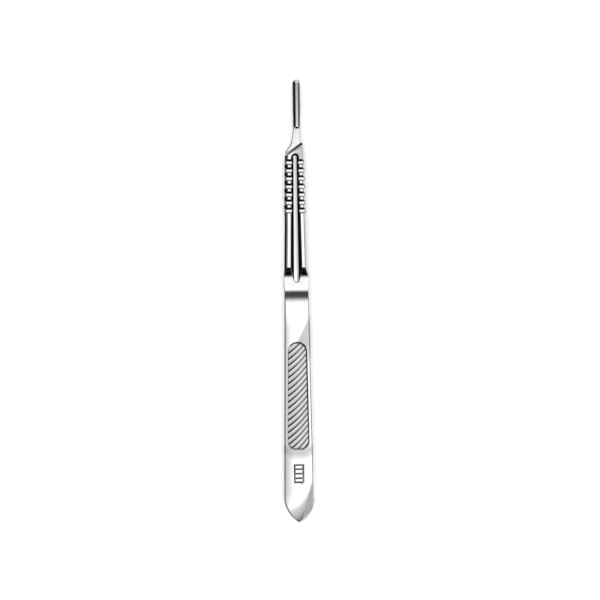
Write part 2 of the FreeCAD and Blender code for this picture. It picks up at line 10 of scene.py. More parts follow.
import bmesh
import bpy
import numpy as np
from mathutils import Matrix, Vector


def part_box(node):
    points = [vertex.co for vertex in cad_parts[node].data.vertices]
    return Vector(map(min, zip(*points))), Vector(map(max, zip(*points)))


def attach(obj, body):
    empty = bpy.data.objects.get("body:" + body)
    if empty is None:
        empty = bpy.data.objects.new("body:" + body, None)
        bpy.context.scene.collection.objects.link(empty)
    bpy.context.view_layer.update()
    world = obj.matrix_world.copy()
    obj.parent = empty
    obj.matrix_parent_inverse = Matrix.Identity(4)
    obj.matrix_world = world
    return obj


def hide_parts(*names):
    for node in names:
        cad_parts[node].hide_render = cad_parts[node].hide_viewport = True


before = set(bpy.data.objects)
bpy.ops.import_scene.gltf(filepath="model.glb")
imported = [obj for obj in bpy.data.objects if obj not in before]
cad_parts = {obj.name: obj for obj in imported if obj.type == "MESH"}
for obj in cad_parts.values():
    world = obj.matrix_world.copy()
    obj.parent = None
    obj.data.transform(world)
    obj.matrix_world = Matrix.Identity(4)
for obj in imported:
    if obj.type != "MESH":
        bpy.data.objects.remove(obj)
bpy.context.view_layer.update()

NODE = "scalpel_handle"
MM = 0.001
lowest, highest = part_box(NODE)
OVERALL = (highest.y - lowest.y) / MM
REAR_END = lowest.y
HALF_THICKNESS = (highest.z - lowest.z) / 2 / MM
MID_HEIGHT = (highest.z + lowest.z) / 2

# Stations
POINT_START = 7.6
PLATE_FRONT = 60.6
WAIST = 65.7
SWELL = 66.8
SLOPE_FOOT = 69.5
BAR_REAR = 72.1
BAR_FRONT = 106.4
LUG_REAR = 111.5
LUG_WIDTH = 2.1
HALF_LUG = LUG_WIDTH / 2
LUG_OFFSET = 0.58
NOSE = OVERALL - HALF_LUG

# Plan of the pointed end
HALF_REAR = 4.375
TIP_RADIUS = 0.75
POINT_RADIUS = ((HALF_REAR ** 2 - TIP_RADIUS ** 2 + (POINT_START - TIP_RADIUS) ** 2)
                / (2 * (HALF_REAR - TIP_RADIUS)))
POINT_CENTRE = POINT_RADIUS - HALF_REAR
TIP_TANGENT = TIP_RADIUS - (POINT_START - TIP_RADIUS) * TIP_RADIUS / (POINT_RADIUS - TIP_RADIUS)

# Corners of the plan: station, distance from the axis, and the reach of the rounding
NECK_RIGHT = LUG_OFFSET + HALF_LUG
NECK_LEFT = LUG_OFFSET - HALF_LUG
BODY_CORNERS = [
    (POINT_START, HALF_REAR, 0.1),
    (PLATE_FRONT, 3.66, 0.6),
    (WAIST, 3.49, 0.6),
    (SWELL, 3.585, 0.4),
    (BAR_REAR, 3.36, 0.5),
]
RIGHT_CORNERS = BODY_CORNERS + [
    (BAR_FRONT, 2.75, 0.36),
    (107.35, NECK_RIGHT, 0.4),
    (LUG_REAR, NECK_RIGHT, 0.4),
    (OVERALL + 5, NECK_RIGHT, 0.4),
]
LEFT_CORNERS = BODY_CORNERS + [
    (104.5, 2.75, 0.14),
    (107.0, 0.95, 0.9),
    (LUG_REAR, -NECK_LEFT, 0.8),
    (OVERALL + 5, -NECK_LEFT, 0.4),
]

# Extra width of the bar's left side, along the channel and along the notches
LEFT_HAIR = 0.09
LEFT_HAIR_GRIP = 0.15
GRIP_REAR = 84
GRIP_REAR_FULL = 88
GRIP_FRONT_FULL = 106
GRIP_FRONT = 110

# Heights above the middle of the thickness, and the arcs between them
BAR_TOP = HALF_THICKNESS
PLATE_TOP = 1.2
LOW_POINT = 66.1
LOW_POINT_TOP = 0.865
SLOPE_FOOT_TOP = 1.28
SLOPE_RADIUS = 30.0
RISE_RADIUS = 45.0

# The plate's shallow crown, and how its rear point rolls off along a slanted curved line
CROWN_START = 1.0
CROWN = 0.0075
CROWN_FADE = 6
POINT_ROLL = 0.0075
POINT_ROLL_START = 9.5
POINT_ROLL_SLANT = 0.4
POINT_ROLL_BEND = 0.2

# Bevel along the bar, and the radius of the edge on the plate, the waist and the bar
BEVEL_WIDTH = 0.8
BEVEL_HEIGHT = 0.7
EDGE_RADII = [0.52, 0.25, 0.05]

# Channel along the bar
CHANNEL_FRONT = 103.15
CHANNEL_HALF_FRONT = 1.0
CHANNEL_HALF_REAR = 1.64
CHANNEL_DEPTH = 0.88
CHANNEL_WALL_FRONT = 0.46
CHANNEL_WALL_REAR = 0.8
CHANNEL_FLOOR_RADIUS = 7.0
CHANNEL_LIP = 0.05

# Grip notches
NOTCH_COUNT = 7
NOTCH_PITCH = 2.27
NOTCH_FIRST = 101.7
NOTCH_DEPTH = 0.35
NOTCH_FRONT_WALL = (0.18, 0.79)
NOTCH_REAR_WALL = (0.44, 0.69)

# Ribbed thumb pad
PAD_REAR = 20.8
PAD_FRONT = 51.0
PAD_HALF_FRONT = 2.75
PAD_HALF_REAR = 3.1
PAD_CORNER = 2.3
PAD_DEPTH = 0.34
PAD_WALL = 0.2
RIB_HEIGHT = 0.2
RIB_PITCH = 1.7
RIB_FIRST = 50.85
RIB_BEND = 24.0
RIB_ANGLE = math.radians(43.7)
RIB_CENTRE_ACROSS = -RIB_BEND * math.sin(RIB_ANGLE)
RIB_CENTRE_ALONG = RIB_BEND * math.cos(RIB_ANGLE)

# Blade fitting
NECK_FACE = 0.25
NECK_BACK = 1.1
NECK_EDGE = 0.24
SHOULDER_ANGLE = math.radians(34.2)
SHOULDER_RISE = math.tan(SHOULDER_ANGLE)
SHOULDER_AXIS = 105.1
SHOULDER_WALL = 0.72
RAMP_START = 104.5
RAMP_LENGTH = 3.2
LUG_TOP = 1.48
RIM_FOOT = 0.70
GROOVE_DEPTH = 0.34
GROOVE_END = OVERALL - 10.2
LUG_CROWN = 0.9
LUG_CROWN_SLANT = math.radians(25)
LUG_EDGE = 0.13
LUG_EDGE_SLANT = math.radians(52)
LUG_BULGE = 1.7

# Plain stamped frame near the rear point
STAMP_STATION = 13.95
STAMP_LENGTH = 5.1
STAMP_WIDTH = 2.76
STAMP_LINE = 0.24
STAMP_DEPTH = 0.05

# How far the creases between two surfaces are rounded
BEVEL_CREASE = 0.04
CHANNEL_CREASE = 0.14
NOTCH_CREASE = 0.1
PAD_CREASE = 0.04
SEAT_CREASE = 0.1
RAMP_CREASE = 0.06
SHOULDER_CREASE_LEFT = 0.15
SHOULDER_CREASE_GAIN = 0.4

# How dark the painted grey washes near the pad and at the channel's end, and the painted shade on
# the flanks, are, on the 0 to 1 scale of the painted shade
BEHIND_PAD = 0.33
BESIDE_PAD = 0.36
CHANNEL_END = 0.24
FLANK_SHADE = 0.3

# Columns and rows of the surface, and rounds in which its leaning rows settle
EDGE_COLUMNS = 8
LAND_COLUMNS = 6
WALL_COLUMNS = 4
INNER_COLUMNS = 15
FLANK_ROWS = 7
RIB_ROWS = 12
NOTCH_ROWS = 16
SETTLING_ROUNDS = 40

# The studio, in metres
CEILING = 1.5
ROOM_LEFT = -0.37
ROOM_RIGHT = 0.55
OVERHEAD_REAR = -0.80
OVERHEAD_FRONT = 0.20
BLACK_FLAG = 0.012
ROOM_COLOUR = (0.52, 0.525, 0.53, 1)
FLOOR_COLOUR = (0.86, 0.86, 0.86, 1)
FLOOR_HALF = 6
FLOOR_HEIGHT = -0.05 * MM

# Where the photo shows the handle
PHOTO_SIZE = 600
HANDLE_PIXELS = 443.1
AXIS_PIXEL = (296.73, 301.35)
ROLL = -math.radians(0.705)


def soft_min(a, b, reach):
    """The lower of two heights, with the crease between them rounded over reach."""
    near = np.clip(reach - np.abs(a - b), 0, None) / reach
    return np.minimum(a, b) - near ** 2 * reach / 4


def soft_max(a, b, reach):
    """The higher of two heights, with the crease between them rounded over reach."""
    return -soft_min(-a, -b, reach)


def smooth_step(low, high, value):
    """0 at low and before it, 1 at high and beyond it, and an S-shaped change between. With
    low above high it falls as the value rises."""
    share = np.clip((value - low) / (high - low), 0, 1)
    return share * share * (3 - 2 * share)


def flank(station, corners):
    """Distance of one flank from the axis: straight lines from corner to corner, averaged
    over each corner's reach so that the corners are round. Behind the plate it follows the
    large circle of the pointed end, then the small one of its tip."""
    stations, widths, reaches = np.array(corners).T
    reach = np.interp(station, stations, reaches)
    lines = [np.interp(station + offset * reach, stations, widths)
             for offset in np.linspace(-1, 1, 13)]
    side = np.mean(lines, axis=0)
    behind = np.clip(POINT_START - station, 0, POINT_START)
    large = np.sqrt(POINT_RADIUS ** 2 - behind ** 2) - POINT_CENTRE
    small = np.sqrt(np.clip(TIP_RADIUS ** 2 - (station - TIP_RADIUS) ** 2, 0, None))
    pointed = np.where(station < TIP_TANGENT, small, large)
    return np.where(station < POINT_START, pointed, side)


def right_flank(station):
    """The right side of the plan, with the round nose of the neck at the front."""
    nose = np.sqrt(np.clip(HALF_LUG ** 2 - (station - NOSE) ** 2, 0, None))
    return np.where(station > NOSE, LUG_OFFSET + nose, flank(station, RIGHT_CORNERS))


def left_flank(station):
    """The left side of the plan, with the round nose of the neck at the front. Along the bar
    it is a hair wider than the corners say."""
    nose = np.sqrt(np.clip(HALF_LUG ** 2 - (station - NOSE) ** 2, 0, None))
    hair = np.interp(station,
                     [WAIST, SWELL, GRIP_REAR, GRIP_REAR_FULL, GRIP_FRONT_FULL, GRIP_FRONT],
                     [0, LEFT_HAIR, LEFT_HAIR, LEFT_HAIR_GRIP, LEFT_HAIR_GRIP, 0])
    return np.where(station > NOSE, LUG_OFFSET - nose, -flank(station, LEFT_CORNERS) - hair)


def inward(x, y):
    """How far a place in the plan lies inside the outline: the distance across to a flank,
    times the cosine of the flank's slant. In the pointed end it is the radius of the circle
    less the distance from its centre."""
    step = 0.01
    distances = []
    for side, edge in ((1, right_flank), (-1, left_flank)):
        slope = (edge(y + step) - edge(y - step)) / (2 * step)
        distances.append(side * (edge(y) - x) / np.sqrt(1 + slope ** 2))
    between = np.minimum(*distances)
    across = np.abs(x) + POINT_CENTRE
    back = y - POINT_START
    large = POINT_RADIUS - np.hypot(across, back)
    small = TIP_RADIUS - np.hypot(x, y - TIP_RADIUS)
    beyond = POINT_CENTRE * back < (TIP_RADIUS - POINT_START) * across
    pointed = np.where(beyond, small, large)
    nose = HALF_LUG - np.hypot(x - LUG_OFFSET, y - NOSE)
    return np.clip(np.where(y < POINT_START, pointed, np.where(y > NOSE, nose, between)), 0, None)


def side_view(y):
    """Height of the forging along the axis: the flat plate, an arc that falls from it to the
    lowest point, a straight gentle rise, the hollow arc of the steep slope and the flat bar. The
    creases are rounded by averaging a few places ahead and behind."""
    climb = BAR_TOP - SLOPE_FOOT_TOP
    run = BAR_REAR - SLOPE_FOOT
    half_turn = math.asin(math.hypot(climb, run) / 2 / SLOPE_RADIUS)
    foot_angle = math.atan2(climb, run) - half_turn
    arc_station = SLOPE_FOOT - SLOPE_RADIUS * math.sin(foot_angle)
    arc_height = SLOPE_FOOT_TOP + SLOPE_RADIUS * math.cos(foot_angle)

    def sharp(station):
        ahead = np.clip(station, PLATE_FRONT, LOW_POINT) - PLATE_FRONT
        fall = PLATE_TOP - RISE_RADIUS + np.sqrt(RISE_RADIUS ** 2 - ahead ** 2)
        rise = np.interp(station, [LOW_POINT, SLOPE_FOOT], [LOW_POINT_TOP, SLOPE_FOOT_TOP])
        along = np.clip(station, SLOPE_FOOT, BAR_REAR) - arc_station
        slope = arc_height - np.sqrt(SLOPE_RADIUS ** 2 - along ** 2)
        return np.where(station < LOW_POINT, fall, np.where(station < SLOPE_FOOT, rise, slope))

    reach = np.interp(y, [PLATE_FRONT, WAIST, SLOPE_FOOT, BAR_REAR], [1.6, 1.1, 0.3, 0.04])
    return np.mean([sharp(y + offset * reach) for offset in np.linspace(-1, 1, 9)], axis=0)


def bevel_height(inside):
    """Height of the flat bevel along the bar, at a distance inside the outline."""
    return BAR_TOP - BEVEL_HEIGHT + inside * BEVEL_HEIGHT / BEVEL_WIDTH


def plain_face(x, y):
    """Height of the face before anything is cut into it: the side view, less the plate's
    crown and the roll-off at its point, which both grow with the square of the distance past
    their start, then a flat bevel along the bar and a quarter-round edge whose radius is
    large only on the plate."""
    inside = inward(x, y)
    crown = CROWN * np.clip(np.abs(x) - CROWN_START, 0, None) ** 2
    swept = y - POINT_ROLL_SLANT * x - POINT_ROLL_BEND * np.clip(x + 1, 0, None) ** 2
    crown = crown + POINT_ROLL * np.clip(POINT_ROLL_START - swept, 0, None) ** 2
    face = side_view(y) - crown * (1 - smooth_step(PLATE_FRONT - CROWN_FADE, PLATE_FRONT, y))
    face = soft_min(face, bevel_height(inside), BEVEL_CREASE)
    radius = np.interp(y, [PLATE_FRONT, WAIST, SLOPE_FOOT], EDGE_RADII)
    lack = np.clip(radius - inside, 0, None)
    return face - radius + np.sqrt(radius ** 2 - lack ** 2)


def channel(x, y):
    """Height of the channel's surface: a hollow floor and two straight walls that part
    towards the rear, turned about an upright axis at the round front end."""
    across = np.where(y > CHANNEL_FRONT, np.hypot(x, y - CHANNEL_FRONT), np.abs(x))
    half = np.interp(y, [WAIST, CHANNEL_FRONT], [CHANNEL_HALF_REAR, CHANNEL_HALF_FRONT])
    wall = np.interp(y, [WAIST, CHANNEL_FRONT], [CHANNEL_WALL_REAR, CHANNEL_WALL_FRONT])
    behind = np.clip(WAIST - y, 0, None)
    inner = np.clip(across, None, CHANNEL_FLOOR_RADIUS * 0.95)
    floor = (BAR_TOP - CHANNEL_DEPTH + CHANNEL_FLOOR_RADIUS
             - np.sqrt(CHANNEL_FLOOR_RADIUS ** 2 - inner ** 2))
    side = BAR_TOP + (across - half) * (CHANNEL_DEPTH - 0.08) / wall
    return soft_max(floor, side, CHANNEL_CREASE) + behind


def cut_channel(face, x, y):
    """The face with the channel cut in. Where the channel runs out on the waist its floor
    lies a little lower still, so that it ends in a small lip."""
    cutter = channel(x, y)
    run_out = 1 - smooth_step(SLOPE_FOOT - 0.5, BAR_REAR, y)
    cutter = cutter - CHANNEL_LIP * run_out * smooth_step(0, 0.02, face - cutter)
    return soft_min(face, cutter, 0.012 + 0.05 * (1 - run_out))


def notches(y):
    """Height of the grip notches: a flat floor, and walls that curve up from it, the front
    one a little farther than the rear one."""
    phase = (NOTCH_FIRST - y) / NOTCH_PITCH
    nearest = np.clip(np.round(phase), 0, NOTCH_COUNT - 1)
    ahead = (nearest - phase) * NOTCH_PITCH
    foot = np.where(ahead > 0, NOTCH_FRONT_WALL[0], NOTCH_REAR_WALL[0])
    top = np.where(ahead > 0, NOTCH_FRONT_WALL[1], NOTCH_REAR_WALL[1])
    climb = np.clip(np.abs(ahead) - foot, 0, None) / (top - foot)
    return BAR_TOP - NOTCH_DEPTH * (1 - climb ** 1.5)


def pad_inside(x, y):
    """Distance inside the pad's outline: a half circle at the front, straight flanks that
    part a little, and two round corners at the rear."""
    front_centre = PAD_FRONT - PAD_HALF_FRONT
    half = np.interp(y, [PAD_REAR + PAD_CORNER, front_centre], [PAD_HALF_REAR, PAD_HALF_FRONT])
    round_front = PAD_HALF_FRONT - np.hypot(x, y - front_centre)
    across = np.abs(x) - (half - PAD_CORNER)
    back = PAD_REAR + PAD_CORNER - y
    corner = np.hypot(np.clip(across, 0, None), np.clip(back, 0, None))
    straight = PAD_CORNER - corner - np.minimum(np.maximum(across, back), 0)
    return np.where(y > front_centre, round_front, straight)


def rib_line(x):
    """How far ahead of its crossing of the axis a rib lies, on its circle in the plan."""
    return RIB_CENTRE_ALONG - np.sqrt(RIB_BEND ** 2 - (x - RIB_CENTRE_ACROSS) ** 2)


def rib_turn(x, y):
    """How far ahead of the middle of the nearest rib a place lies, in pitches."""
    phase = (y - rib_line(x) - RIB_FIRST) / RIB_PITCH
    return phase - np.round(phase)


def rib_share(x, y):
    """0 on the crown of a rib and 1 in the valley between two."""
    return np.abs(rib_turn(x, y)) * 2


def thumb_pad(x, y):
    """Height of the ribbed pad: broad flat crowns with narrow valleys, and a wall round
    the outline. The crown falls with the eighth power of the way to the valley."""
    inside = pad_inside(x, y)
    crown = RIB_HEIGHT * (1 - rib_share(x, y) ** 8)
    wall = np.clip(PAD_WALL - inside, 0, None) * (PAD_DEPTH / PAD_WALL)
    return PLATE_TOP - PAD_DEPTH + crown + wall


def past_shoulder(x, y):
    """How far ahead of the slanted edge of the shoulder a place lies, along the handle."""
    return y - SHOULDER_AXIS - SHOULDER_RISE * x


def blade_seat(x, y):
    """Height of the blade's seat: the flat face of the neck, and behind it the steep wall
    that climbs to the slanted edge of the shoulder."""
    ahead = past_shoulder(x, y) * math.cos(SHOULDER_ANGLE)
    wall = BAR_TOP - (BAR_TOP - NECK_FACE) * ahead / SHOULDER_WALL
    lack = np.clip(NECK_EDGE - inward(x, y), 0, None)
    floor = NECK_FACE - NECK_EDGE + np.sqrt(NECK_EDGE ** 2 - lack ** 2)
    return soft_max(floor, wall, SEAT_CREASE)


def stamp(x, y):
    """How deep the stamp is struck: a plain oblong frame with three bars across it."""
    across = np.abs(x)
    along = np.abs(y - STAMP_STATION)
    edge = np.maximum(across - STAMP_WIDTH / 2, along - STAMP_LENGTH / 2) + STAMP_LINE / 2
    line = np.abs(edge)
    bar_pitch = STAMP_LENGTH / 4
    nearest = np.clip(np.round((y - STAMP_STATION) / bar_pitch), -1, 1)
    bars = np.abs(y - STAMP_STATION - bar_pitch * nearest)
    bars = np.maximum(bars, across - STAMP_WIDTH * 0.28)
    off_line = smooth_step(STAMP_LINE * 0.3, STAMP_LINE * 0.9, np.minimum(line, bars))
    return STAMP_DEPTH * (1 - off_line)


def forging(x, y):
    """What both faces share: the plain face with the channel, the notches and the pad cut in."""
    face = cut_channel(plain_face(x, y), x, y)
    face = soft_min(face, notches(y), NOTCH_CREASE)
    return soft_min(face, thumb_pad(x, y), PAD_CREASE)


def top_face(x, y):
    """The front face: the forging with the blade's seat and the stamp cut in. The edge of the
    seat is sharper on the left."""
    crease = SHOULDER_CREASE_LEFT + SHOULDER_CREASE_GAIN * smooth_step(-2.5, 2.5, x)
    return soft_min(forging(x, y), blade_seat(x, y), crease) - stamp(x, y)


def back_face(x, y):
    """The back face, as a depth below the middle: the forging, without a seat or a stamp.
    The neck's back is reached by a straight ramp."""
    ramp = BAR_TOP - (y - RAMP_START) * (BAR_TOP - NECK_BACK) / RAMP_LENGTH
    return soft_min(forging(x, y), soft_max(ramp, NECK_BACK, SEAT_CREASE), RAMP_CREASE)


def steep_walls(face, x, y):
    """Painted shade, 1 on the walls of the channel and the notches, where it stands in for
    their shade and dark reflections: the slope of the face, where it lies below the plain face
    and outside the pad."""
    step = 0.03
    slope = np.hypot(face(x + step, y) - face(x - step, y),
                     face(x, y + step) - face(x, y - step)) / (2 * step)
    depth = plain_face(x, y) - face(x, y)
    steep = smooth_step(0.15, 0.4, slope) * smooth_step(0.004, 0.02, depth)
    return steep * smooth_step(0.1, 0.3, -pad_inside(x, y))


def slope_creases(x, y):
    """Painted shade, 1 along the creases of the rear slope with the channel and with the
    left bevel, which is where the slope and the other surface are nearly the same height. It
    stands in for the dark reflections along these creases."""
    climbing = (smooth_step(SLOPE_FOOT, SLOPE_FOOT + 0.3, y)
                * smooth_step(BAR_REAR + 0.1, BAR_REAR - 0.1, y))
    slope = side_view(y)
    to_channel = np.abs(channel(x, y) - slope)
    to_bevel = np.where(x < 0, np.abs(bevel_height(inward(x, y)) - slope), 1)
    return climbing * smooth_step(0.2, 0.05, np.minimum(to_channel, to_bevel))


def teeth(x, y):
    """Painted shade, 1 on the left bevel where it stands between two notches, standing in for the
    bevel's dark reflection.
    """
    rear = NOTCH_FIRST - (NOTCH_COUNT - 0.6) * NOTCH_PITCH
    front = NOTCH_FIRST + 0.8
    between = smooth_step(0.75, 0.5, (BAR_TOP - notches(y)) / NOTCH_DEPTH)
    between = between * (y > rear) * (y < front) * (x < 0)
    return between * smooth_step(0.95, 0.8, inward(x, y))


def pad_shade(x, y):
    """How much painted shade the pad gets, standing in for its shading and reflections. The
    wall round it is darkest at the right and at both ends. The valleys between the ribs get
    painted shade, wider and darker towards the left. The crowns get little, so they show as
    painted highlights, more so on their front halves and towards the right."""
    inside = pad_inside(x, y)
    ends = np.maximum(smooth_step(1.5, 0.3, y - PAD_REAR), smooth_step(1.5, 0.3, PAD_FRONT - y))
    wall = smooth_step(-0.06, 0.0, inside) * (1 - smooth_step(0.22, 0.34, inside))
    wall = wall * (0.15 + 0.8 * np.maximum(smooth_step(-0.5, 2.2, x), ends))
    leftward = smooth_step(0.8, -2.6, x)
    valley = smooth_step(0.78 - 0.34 * leftward, 0.94, rib_share(x, y)) * (0.8 + 0.18 * leftward)
    crown = 0.02 + 0.12 * leftward + 0.28 * smooth_step(0.2, 0.0, rib_turn(x, y))
    ribs = smooth_step(0.02, 0.12, inside) * np.maximum(valley, crown)
    return np.maximum(ribs, wall)


def painted_washes(x, y):
    """Faint painted grey washes that stand in for shade and reflections: behind the pad, to
    the right of a slanted line at its front end, and right of the channel's round end."""
    outside = -pad_inside(x, y)
    behind = smooth_step(3.5, 1.2, outside) * smooth_step(PAD_REAR + 2, PAD_REAR, y)
    past_line = x - 0.48 * (y - PAD_FRONT) + 0.3
    beside = smooth_step(0, 0.8, past_line) * smooth_step(PAD_FRONT - 7, PAD_FRONT, y)
    at_end = smooth_step(-0.2, 0.8, x) * smooth_step(2.1, 1.7, x)
    at_end = at_end * smooth_step(NOTCH_FIRST + 0.7, NOTCH_FIRST + 1.0, y)
    at_end = at_end * smooth_step(-0.2, -0.4, past_shoulder(x, y))
    zones = np.maximum.reduce([BEHIND_PAD * behind, BESIDE_PAD * beside, CHANNEL_END * at_end])
    return zones * smooth_step(0.0, 0.1, outside)


def painted_shade(face, x, y):
    """How much painted shade a face gets: a dark colour that stands in for shade and dark
    reflections, from 0 on open faces to 1 on steep walls. It is the darkest of the walls, the
    creases of the rear slope, the teeth, the pad and the painted grey washes. The front face adds
    painted shade in the struck lines of the stamp and a painted dark line along the shoulder,
    wider at the right, and nothing else is dark ahead of that."""
    walls = steep_walls(face, x, y)
    shades = [slope_creases(x, y), teeth(x, y), pad_shade(x, y), painted_washes(x, y)]
    if face is top_face:
        ahead = past_shoulder(x, y) * math.cos(SHOULDER_ANGLE)
        walls = walls * (1 - smooth_step(-0.2, -0.1, ahead))
        # A painted dark line along the shoulder's edge, and painted shade in the stamp's struck
        # lines
        width = 0.3 + 0.45 * smooth_step(-2.5, 2.0, x)
        line = smooth_step(-0.04, 0.08, ahead) * (1 - smooth_step(width, width + 0.12, ahead))
        shades = shades + [line, smooth_step(0.01, 0.04, stamp(x, y))]
    return np.maximum.reduce([walls] + shades)


def milled(x, y):
    """1 on the floor of the channel, which is left as milled, and 0 elsewhere."""
    return smooth_step(0.3, 0.5, np.minimum(side_view(y), BAR_TOP) - channel(x, y))


def rows():
    """Stations of the rows where they cross the axis. They lie closest in the pad and
    the notches, a whole number of them to each rib and notch."""
    ribs_behind = 20
    ribs_ahead = 1.5
    ribs_start = RIB_FIRST - ribs_behind * RIB_PITCH
    ribs_end = RIB_FIRST + ribs_ahead * RIB_PITCH
    rib_rows = round((ribs_behind + ribs_ahead) * RIB_ROWS)
    notches_start = NOTCH_FIRST - (NOTCH_COUNT - 0.5) * NOTCH_PITCH
    notches_end = NOTCH_FIRST + 0.5 * NOTCH_PITCH
    quarter = np.linspace(0, math.pi / 2, 30)
    stretches = [
        POINT_START * (1 - np.cos(quarter)),
        np.linspace(POINT_START, STAMP_STATION - 3, 7),
        np.linspace(STAMP_STATION - 3, ribs_start, 61),
        np.linspace(ribs_start, ribs_end, rib_rows + 1),
        np.linspace(ribs_end, PLATE_FRONT, 14),
        np.linspace(PLATE_FRONT, WAIST, 20),
        np.linspace(WAIST, SLOPE_FOOT, 31),
        np.linspace(SLOPE_FOOT, BAR_REAR, 17),
        np.linspace(BAR_REAR, notches_start, 20),
        np.linspace(notches_start, notches_end, NOTCH_COUNT * NOTCH_ROWS + 1),
        np.linspace(notches_end, SHOULDER_AXIS - 0.2, 19),
        np.linspace(SHOULDER_AXIS - 0.2, SHOULDER_AXIS + 1.1, 17),
        np.linspace(SHOULDER_AXIS + 1.1, 109, 15),
        np.linspace(109, NOSE, 20),
        NOSE + HALF_LUG * np.sin(np.linspace(0, math.pi / 2, 12)),
    ]
    return np.unique(np.round(np.concatenate(stretches), 6))


def lean(station, x):
    """How far a row runs ahead of its station at a distance from the axis. In the pad the
    rows follow the ribs, and at the front the slanted shoulder. Over a stretch before and
    after each they turn little by little."""
    turning = [0, 1, 1, 0]
    ribs = np.interp(station, [2, 16.8, 52.6, 60.4], turning)
    shoulder = np.interp(station, [102.4, SHOULDER_AXIS - 0.1, 106.6, 110], turning)
    return ribs * rib_line(x) + shoulder * SHOULDER_RISE * x


def half_columns(half, station):
    """Distances of the columns from the middle line, for half a face. They crowd into the
    rounded edge, or the bevel, and the walls of the channel or the pad."""
    plate_edge = 0.65
    waist_edge = 0.5
    bevel_edge = BEVEL_WIDTH + 0.02
    neck_edge = 0.3
    edge = np.interp(station, [PLATE_FRONT, WAIST, SLOPE_FOOT, BAR_FRONT, 107.5],
                     [plate_edge, waist_edge, bevel_edge, bevel_edge, neck_edge])
    edge = np.minimum(edge, 0.45 * half)
    channel_half = np.interp(station, [WAIST, CHANNEL_FRONT],
                             [CHANNEL_HALF_REAR, CHANNEL_HALF_FRONT])
    outer = np.interp(station, [POINT_START, PAD_REAR, PAD_FRONT, PLATE_FRONT, WAIST],
                      [2.9, PAD_HALF_REAR, PAD_HALF_FRONT, 2.3, CHANNEL_HALF_REAR])
    outer = np.where(station > WAIST, channel_half, outer)
    outer = np.minimum(outer, (half - edge) * 0.88)
    wall = np.interp(station, [PAD_FRONT, WAIST, CHANNEL_FRONT],
                     [PAD_WALL + 0.05, CHANNEL_WALL_REAR, CHANNEL_WALL_FRONT])
    inner = np.maximum(outer - wall, outer * 0.55)
    turn = np.linspace(0, math.pi / 2, EDGE_COLUMNS + 1)
    parts = [
        (0, inner, np.linspace(0, 1, INNER_COLUMNS + 1)[:-1]),
        (inner, outer, np.linspace(0, 1, WALL_COLUMNS + 1)[:-1]),
        (outer, half - edge, np.linspace(0, 1, LAND_COLUMNS + 1)[:-1]),
        (half - edge, half, np.sin(turn)),
    ]
    columns = [low + (high - low) * share for low, high, shares in parts for share in shares]
    return np.stack(columns, axis=0)


def plan_grid():
    """The places in the plan of a face's vertices, rows by columns. A row leans, so each
    place is found by repeating: the station from the column, then the column from the
    station, until both stay where they are."""
    stations = rows()[:, None]
    count = EDGE_COLUMNS + LAND_COLUMNS + WALL_COLUMNS + INNER_COLUMNS
    pick = np.arange(count + 1)
    x = np.zeros((len(stations), 2 * count + 1))
    left = (-1, left_flank, slice(0, count))
    right = (1, right_flank, slice(count, None))
    for _ in range(SETTLING_ROUNDS):
        y = np.clip(stations + lean(stations, x), 0, OVERALL)
        middle = np.interp(y, [103.5, 107.3], [0, LUG_OFFSET])
        sides = []
        for sign, edge, part in (left, right):
            here = y[:, part]
            half = np.abs(edge(here) - middle[:, part])
            every = half_columns(half, here)
            order = pick[:0:-1] if sign < 0 else pick
            chosen = np.stack([every[order[j], :, j] for j in range(len(order))], axis=1)
            sides.append(middle[:, part] + sign * chosen)
        x = 0.5 * x + 0.5 * np.concatenate(sides, axis=1)
    return x, np.clip(stations + lean(stations, x), 0, OVERALL)


def ring_faces(row_count, ring_count):
    """Four corners of each face of a surface that closes round every row."""
    here = np.arange(ring_count)
    beside = np.roll(here, -1)
    row = np.arange(row_count - 1)[:, None] * ring_count
    corners = [row + here, row + beside, row + ring_count + beside, row + ring_count + here]
    return np.stack(corners, axis=-1).reshape(-1, 4)


def handle_surface():
    """Vertices, faces, painted shade and the milled floor's finish of the handle without its
    lug. A row's ring is the front face from left to right, down the right flank, the back face
    from right to left, and up the left flank, where the heights are shared out evenly between
    the two faces. The flanks get an even painted shade."""
    x, y = plan_grid()
    top = top_face(x, y)
    back = -back_face(x, y)
    share = np.linspace(0, 1, FLANK_ROWS + 1)[1:-1]
    down = top[:, -1:] + (back[:, -1:] - top[:, -1:]) * share
    up = back[:, :1] + (top[:, :1] - back[:, :1]) * share
    upright = np.ones_like(share)
    ring_x = np.hstack([x, x[:, -1:] * upright, x[:, ::-1], x[:, :1] * upright])
    ring_y = np.hstack([y, y[:, -1:] * upright, y[:, ::-1], y[:, :1] * upright])
    ring_z = np.hstack([top, down, back[:, ::-1], up])
    bare = np.zeros_like(down)
    # An even painted shade on the flanks, which darkens the outline
    shade_paint = np.full_like(down, FLANK_SHADE)
    dark = np.hstack([painted_shade(top_face, x, y), shade_paint, painted_shade(back_face, x, y)[:, ::-1], shade_paint])
    floor = milled(x, y)
    rough = np.hstack([floor, bare, floor[:, ::-1], bare])
    places = np.stack([ring_x, ring_y, ring_z], axis=-1).reshape(-1, 3)
    return places, ring_faces(*ring_x.shape), dark.ravel(), rough.ravel()


